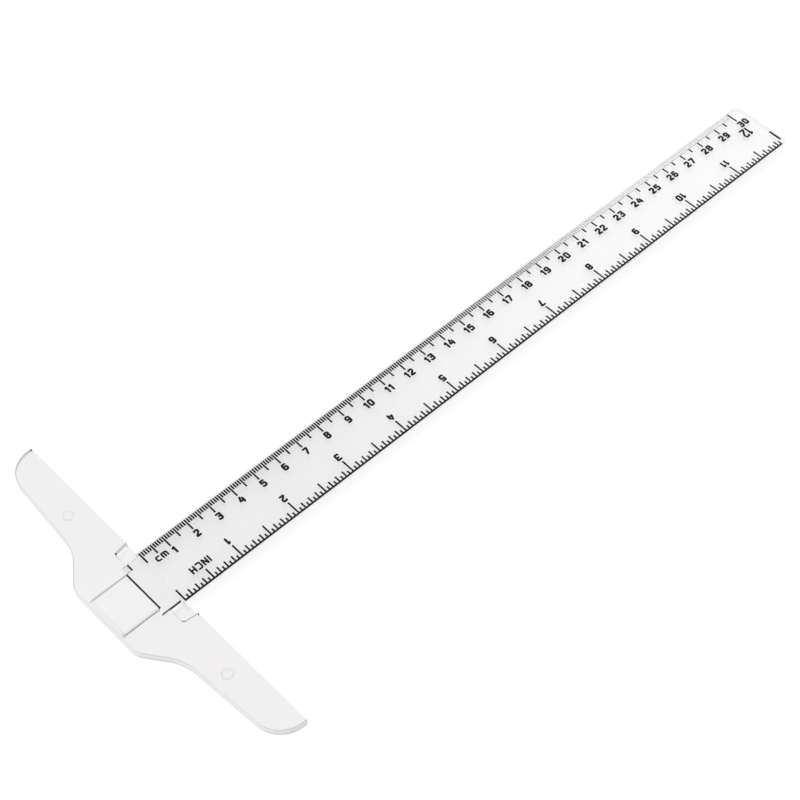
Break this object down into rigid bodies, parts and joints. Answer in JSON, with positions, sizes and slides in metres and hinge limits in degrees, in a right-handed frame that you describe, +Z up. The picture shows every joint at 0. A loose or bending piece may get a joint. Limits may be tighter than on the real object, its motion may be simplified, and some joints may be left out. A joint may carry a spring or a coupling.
{
  "type": "t square",
  "caption": "Clear plastic drafting T-square: a short winged head guides along the board's edge and a pull-off blade carries centimetre and inch scales.",
  "frame": {"origin": "on the blade's underside, where its centre line crosses the plane of the head's guide edge, which is also the zero of both scales", "axes": "+X along the blade towards its tip, +Y across the blade towards the centimetre edge, +Z up, away from the paper"},
  "size_m": [0.3311, 0.151, 0.0031],
  "materials": {
    "head_plastic": "clear moulded polystyrene, glossy",
    "blade_plastic": "clear moulded polystyrene, glossy",
    "scale_ink": "black hot-stamped ink"
  },
  "bodies": {
    "head": {"head": "head_plastic"},
    "blade": {"blade": "blade_plastic", "cm_graduations": "scale_ink", "cm_numerals": "scale_ink", "inch_graduations": "scale_ink", "inch_numerals": "scale_ink"}
  },
  "joints": [
    {"name": "blade_slide", "type": "slide", "parent": "head", "child": "blade", "axis": [1, 0, 0], "range_m": [0, 0.03]}
  ]
}
